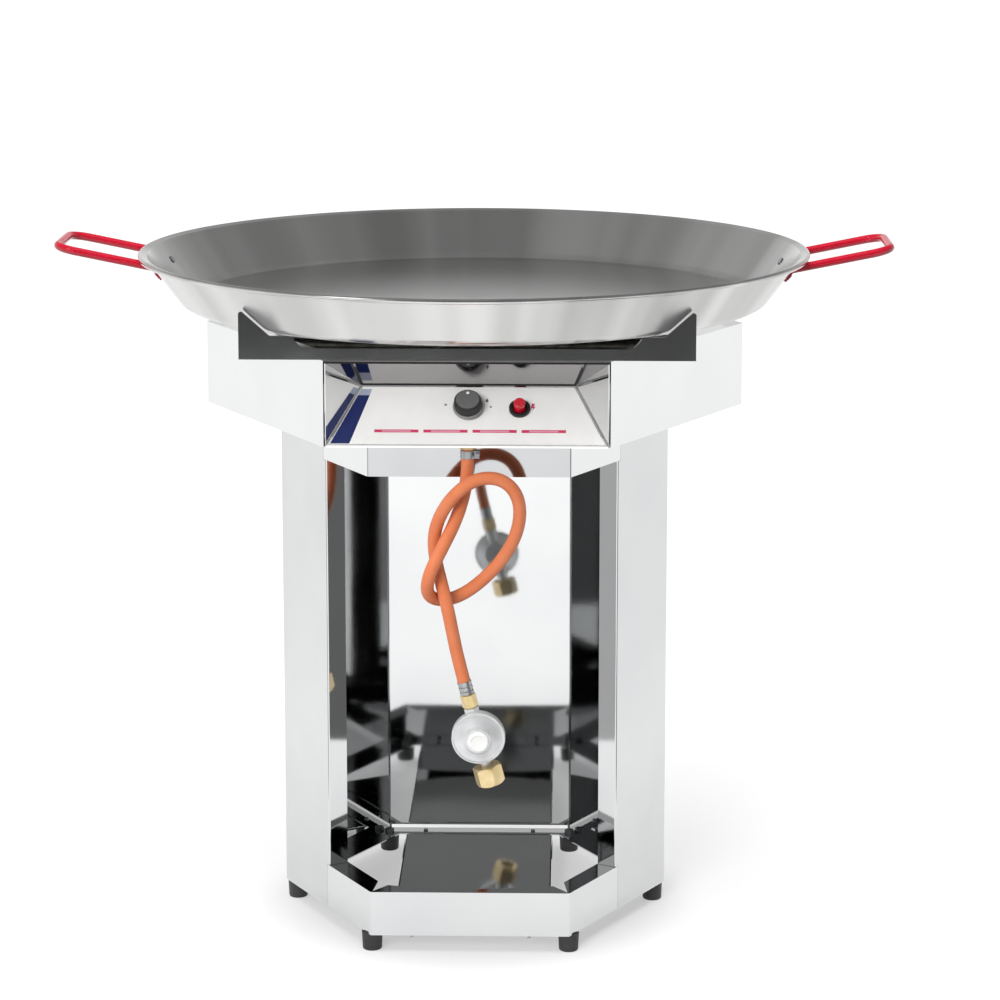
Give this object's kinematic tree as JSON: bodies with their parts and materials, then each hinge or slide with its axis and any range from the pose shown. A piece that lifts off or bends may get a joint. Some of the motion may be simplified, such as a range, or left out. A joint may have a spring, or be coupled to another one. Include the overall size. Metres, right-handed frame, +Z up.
{
  "type": "gas barbecue",
  "caption": "Free-standing gas barbecue: a hexagonal stainless bottle cabinet under a wider burner box, with a tap and igniter in front and a wide round pan with red handles on top.",
  "frame": {"origin": "on the floor, under the middle of the pan and of the hexagonal cabinet", "axes": "+X to the right of someone facing the controls, through both pan handles; +Y to the back; +Z up"},
  "size_m": [1.004, 0.808, 0.831],
  "materials": {
    "polished_stainless": "mirror-polished stainless sheet",
    "plate_stainless": "thick stainless plate",
    "pan_steel": "pressed polished steel",
    "zinc_plated_steel": "bright zinc plating",
    "burner_steel": "dull heat-darkened steel",
    "cast_zinc": "bare die-cast zinc",
    "tap_brass": "machined brass",
    "probe_metal": "drawn copper",
    "foot_rubber": "matt black moulding",
    "orange_rubber": "smooth orange gas hose",
    "lead_rubber": "black insulation",
    "red_enamel": "glossy red enamel",
    "red_plastic": "glossy red moulding",
    "white_plastic": "white moulding",
    "black_plastic": "black moulding",
    "knob_plastic": "dark grey moulding",
    "printed_foil": "silver-white printed foil",
    "electrode_ceramic": "glazed white ceramic"
  },
  "bodies": {
    "stand": {"base_ring": "polished_stainless", "feet": "foot_rubber", "foot_bolts": "zinc_plated_steel", "base_left_panel": "polished_stainless", "base_right_panel": "polished_stainless", "base_back_panel": "polished_stainless", "panel_rivets": "zinc_plated_steel", "lower_front_band": "polished_stainless", "upper_front_band": "polished_stainless", "bottle_shelf": "polished_stainless", "shelf_screws": "zinc_plated_steel", "housing_shell": "polished_stainless", "control_fascia": "polished_stainless", "recess_cheek_left": "polished_stainless", "recess_cheek_right": "polished_stainless", "panel_overlay": "printed_foil", "burner_tray": "polished_stainless", "gas_tap": "tap_brass", "tap_nut": "zinc_plated_steel", "igniter_body": "black_plastic", "igniter_nut": "black_plastic", "ignition_lead": "lead_rubber", "spark_electrode": "electrode_ceramic", "thermocouple": "probe_metal", "probe_brackets": "zinc_plated_steel", "burner_hub": "burner_steel", "burner_arms": "burner_steel", "burner_legs": "burner_steel", "mixing_tube": "burner_steel", "injector_holder": "zinc_plated_steel", "injector": "tap_brass", "gas_pipe": "probe_metal", "pan_support_front": "plate_stainless", "pan_support_rear": "plate_stainless", "support_screws": "zinc_plated_steel", "support_nuts": "zinc_plated_steel", "hose_tail": "tap_brass", "hose_clamp": "zinc_plated_steel", "gas_hose": "orange_rubber", "hose_ferrule": "zinc_plated_steel", "hose_union": "tap_brass", "regulator_body": "cast_zinc", "regulator_cover": "cast_zinc", "regulator_cap": "white_plastic", "regulator_stem": "tap_brass", "inlet_seal": "lead_rubber"},
    "loose_pan": {"pan": "pan_steel", "pan_handle_left": "red_enamel", "pan_handle_right": "red_enamel", "handle_rivets": "zinc_plated_steel"},
    "tap_push_rod": {"tap_plunger": "tap_brass"},
    "tap_knob": {"control_knob": "knob_plastic", "knob_pointer": "white_plastic", "tap_spindle": "tap_brass"},
    "spark_button": {"igniter_button": "red_plastic"},
    "free_nut": {"inlet_nut": "tap_brass"}
  },
  "joints": [
    {"name": "pan_lift", "type": "slide", "parent": "stand", "child": "loose_pan", "axis": [0, 0, 1], "range_m": [0, 0.12]},
    {"name": "knob_push", "type": "slide", "parent": "stand", "child": "tap_push_rod", "axis": [0, 0.6715, -0.741], "range_m": [0, 0.003], "stiffness_N_per_m": 2000, "springref_m": -0.002},
    {"name": "knob_turn", "type": "hinge", "parent": "tap_push_rod", "child": "tap_knob", "pos_m": [0, -0.24263, 0.66569], "axis": [0, -0.6715, 0.741], "range_deg": [0, 210]},
    {"name": "igniter_press", "type": "slide", "parent": "stand", "child": "spark_button", "axis": [0, 0.6715, -0.741], "range_m": [0, 0.008], "stiffness_N_per_m": 800, "springref_m": -0.003},
    {"name": "inlet_nut_spin", "type": "hinge", "parent": "stand", "child": "free_nut", "pos_m": [0.02381, -0.25491, 0.23777], "axis": [0.242, 0.0691, -0.9678], "continuous": true}
  ]
}
